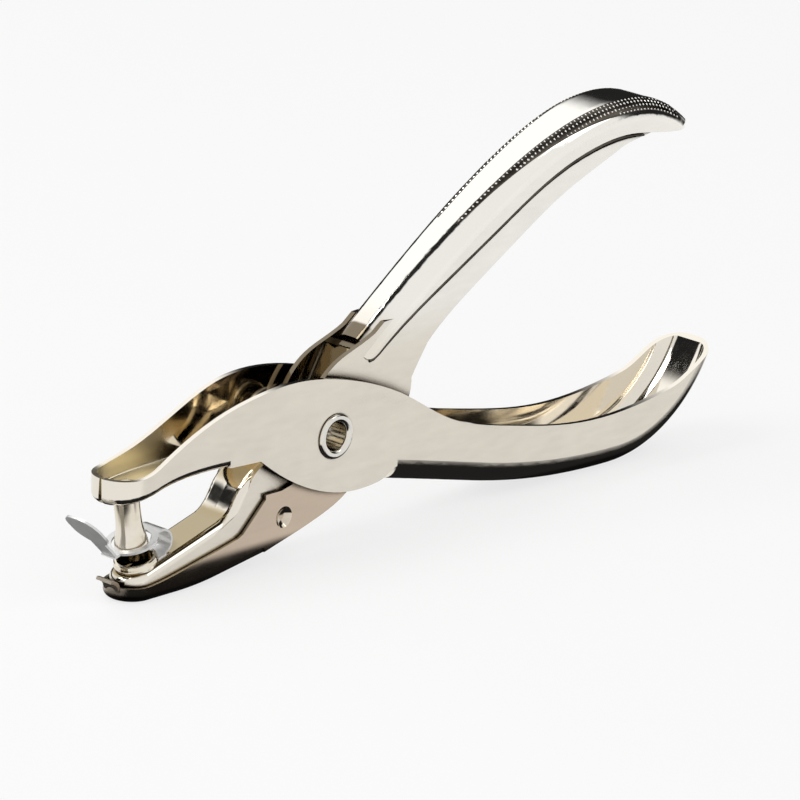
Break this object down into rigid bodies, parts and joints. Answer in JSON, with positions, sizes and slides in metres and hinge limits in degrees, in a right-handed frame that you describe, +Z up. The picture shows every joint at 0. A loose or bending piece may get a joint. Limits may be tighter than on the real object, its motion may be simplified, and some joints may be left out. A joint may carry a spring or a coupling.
{
  "type": "single hole punch",
  "caption": "Plier-type hand punch of plated sheet steel: two crossed levers on a hollow rivet, punch and die in the jaws, stripper leaf, swing-down chip tray and return spring.",
  "frame": {"origin": "on the pivot axis, at mid width, centre of the rivet bore", "axes": "+X from the jaws towards the handle tails, +Y along the rivet, +Z up as the punch stands open on a table"},
  "size_m": [0.1301, 0.011, 0.057],
  "materials": {
    "nickel_plate": "bright nickel plate, warm tint, rolled sheet",
    "tool_steel": "turned and plated",
    "rivet_steel": "rolled over, plated",
    "spring_leaf": "matt spring steel",
    "spring_wire": "drawn spring wire"
  },
  "bodies": {
    "outer": {"outer_lever": "nickel_plate", "punch_pin": "tool_steel", "pivot_rivet": "rivet_steel", "return_spring": "spring_wire"},
    "inner": {"inner_lever": "nickel_plate", "die_bush": "tool_steel", "paper_stripper": "spring_leaf"},
    "tray": {"chip_tray": "nickel_plate"}
  },
  "joints": [
    {"name": "pivot", "type": "hinge", "parent": "outer", "child": "inner", "pos_m": [0, 0, 0], "axis": [0, 1, 0], "range_deg": [0, 6], "stiffness_Nm_per_rad": 0.3, "springref_deg": -20.05, "deforming": ["return_spring"]},
    {"name": "tray_hinge", "type": "hinge", "parent": "inner", "child": "tray", "pos_m": [0, 0, 0], "axis": [0, -1, 0], "range_deg": [0, 50]}
  ]
}
